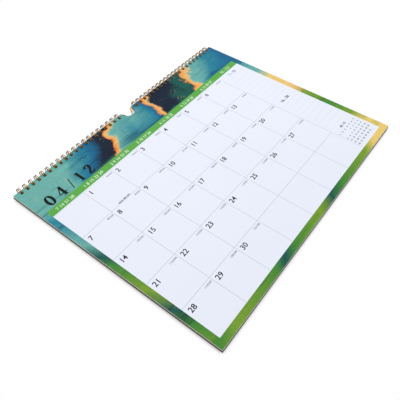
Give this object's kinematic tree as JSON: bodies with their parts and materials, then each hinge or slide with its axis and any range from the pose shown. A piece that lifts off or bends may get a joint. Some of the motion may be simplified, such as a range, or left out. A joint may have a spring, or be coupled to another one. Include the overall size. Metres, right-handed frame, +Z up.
{
  "type": "wall calendar",
  "caption": "Wire-bound wall calendar lying face up, with one month open, backing board, turned leaves and a folding wire hanger.",
  "frame": {"origin": "under the middle of the whole calendar, on the surface that its wire loops rest on", "axes": "+X to the right of the page, +Y towards the bound edge, +Z up out of the open page"},
  "size_m": [0.3762, 0.2984, 0.0098],
  "materials": {
    "page_paper": "coated",
    "chipboard": "matte",
    "cover_card": "coated",
    "leaf_paper": "coated",
    "binding_wire": "satin",
    "hanger_wire": "satin"
  },
  "bodies": {
    "binding": {"backing_board": "chipboard", "wire_left": "binding_wire", "wire_right": "binding_wire"},
    "open_pages": {"page_block": "page_paper"},
    "turned_pages": {"front_cover": "cover_card", "turned_leaves": "leaf_paper"},
    "hanger_wire": {"hanger": "hanger_wire"}
  },
  "joints": [
    {"name": "page_turn", "type": "hinge", "parent": "binding", "child": "open_pages", "pos_m": [0, 0.14452, 0.00492], "axis": [-1, 0, 0], "range_deg": [0, 220]},
    {"name": "back_turn", "type": "hinge", "parent": "binding", "child": "turned_pages", "pos_m": [0, 0.14452, 0.00492], "axis": [1, 0, 0], "range_deg": [0, 220]},
    {"name": "hanger_swing", "type": "hinge", "parent": "binding", "child": "hanger_wire", "pos_m": [0, 0.14452, 0.00492], "axis": [1, 0, 0], "range_deg": [0, 320]}
  ]
}
